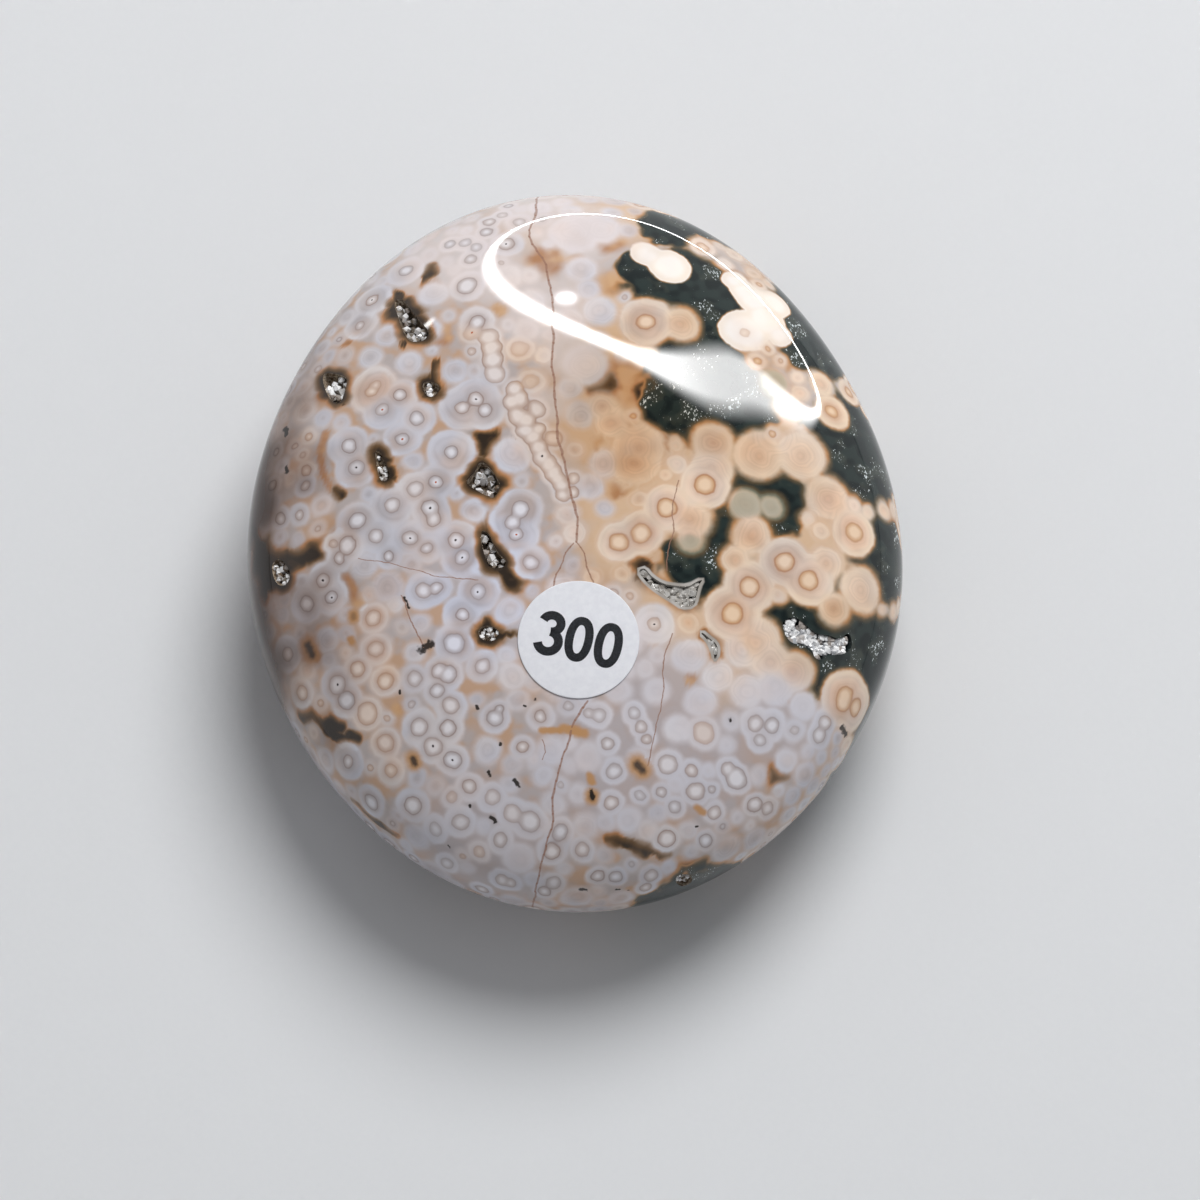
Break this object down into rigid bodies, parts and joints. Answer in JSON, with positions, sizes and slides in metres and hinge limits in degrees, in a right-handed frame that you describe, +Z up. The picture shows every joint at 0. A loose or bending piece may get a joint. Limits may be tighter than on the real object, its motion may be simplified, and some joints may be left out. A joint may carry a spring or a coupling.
{
  "type": "ocean jasper palm stone",
  "caption": "Polished oval palm stone of orbicular ocean jasper with open druzy pockets and a round number sticker, lying on a small flat spot.",
  "frame": {"origin": "middle of the stone's plan, on the surface that it rests on", "axes": "+X across the face to the right of the sticker, +Y along the face, +Z up out of the face that carries the sticker"},
  "size_m": [0.0656, 0.0758, 0.0253],
  "materials": {
    "polished_jasper": "glossy polish",
    "druzy_quartz": "sparkling crystal faces",
    "sticker_paper": "coated paper"
  },
  "bodies": {
    "root": {"stone": "polished_jasper", "crust_upper_left": "druzy_quartz", "crust_left_edge": "druzy_quartz", "crust_middle_upper": "druzy_quartz", "crust_middle_lower": "druzy_quartz", "crust_beside_sticker": "druzy_quartz", "crust_right_side": "druzy_quartz", "number_sticker": "sticker_paper"}
  },
  "joints": []
}
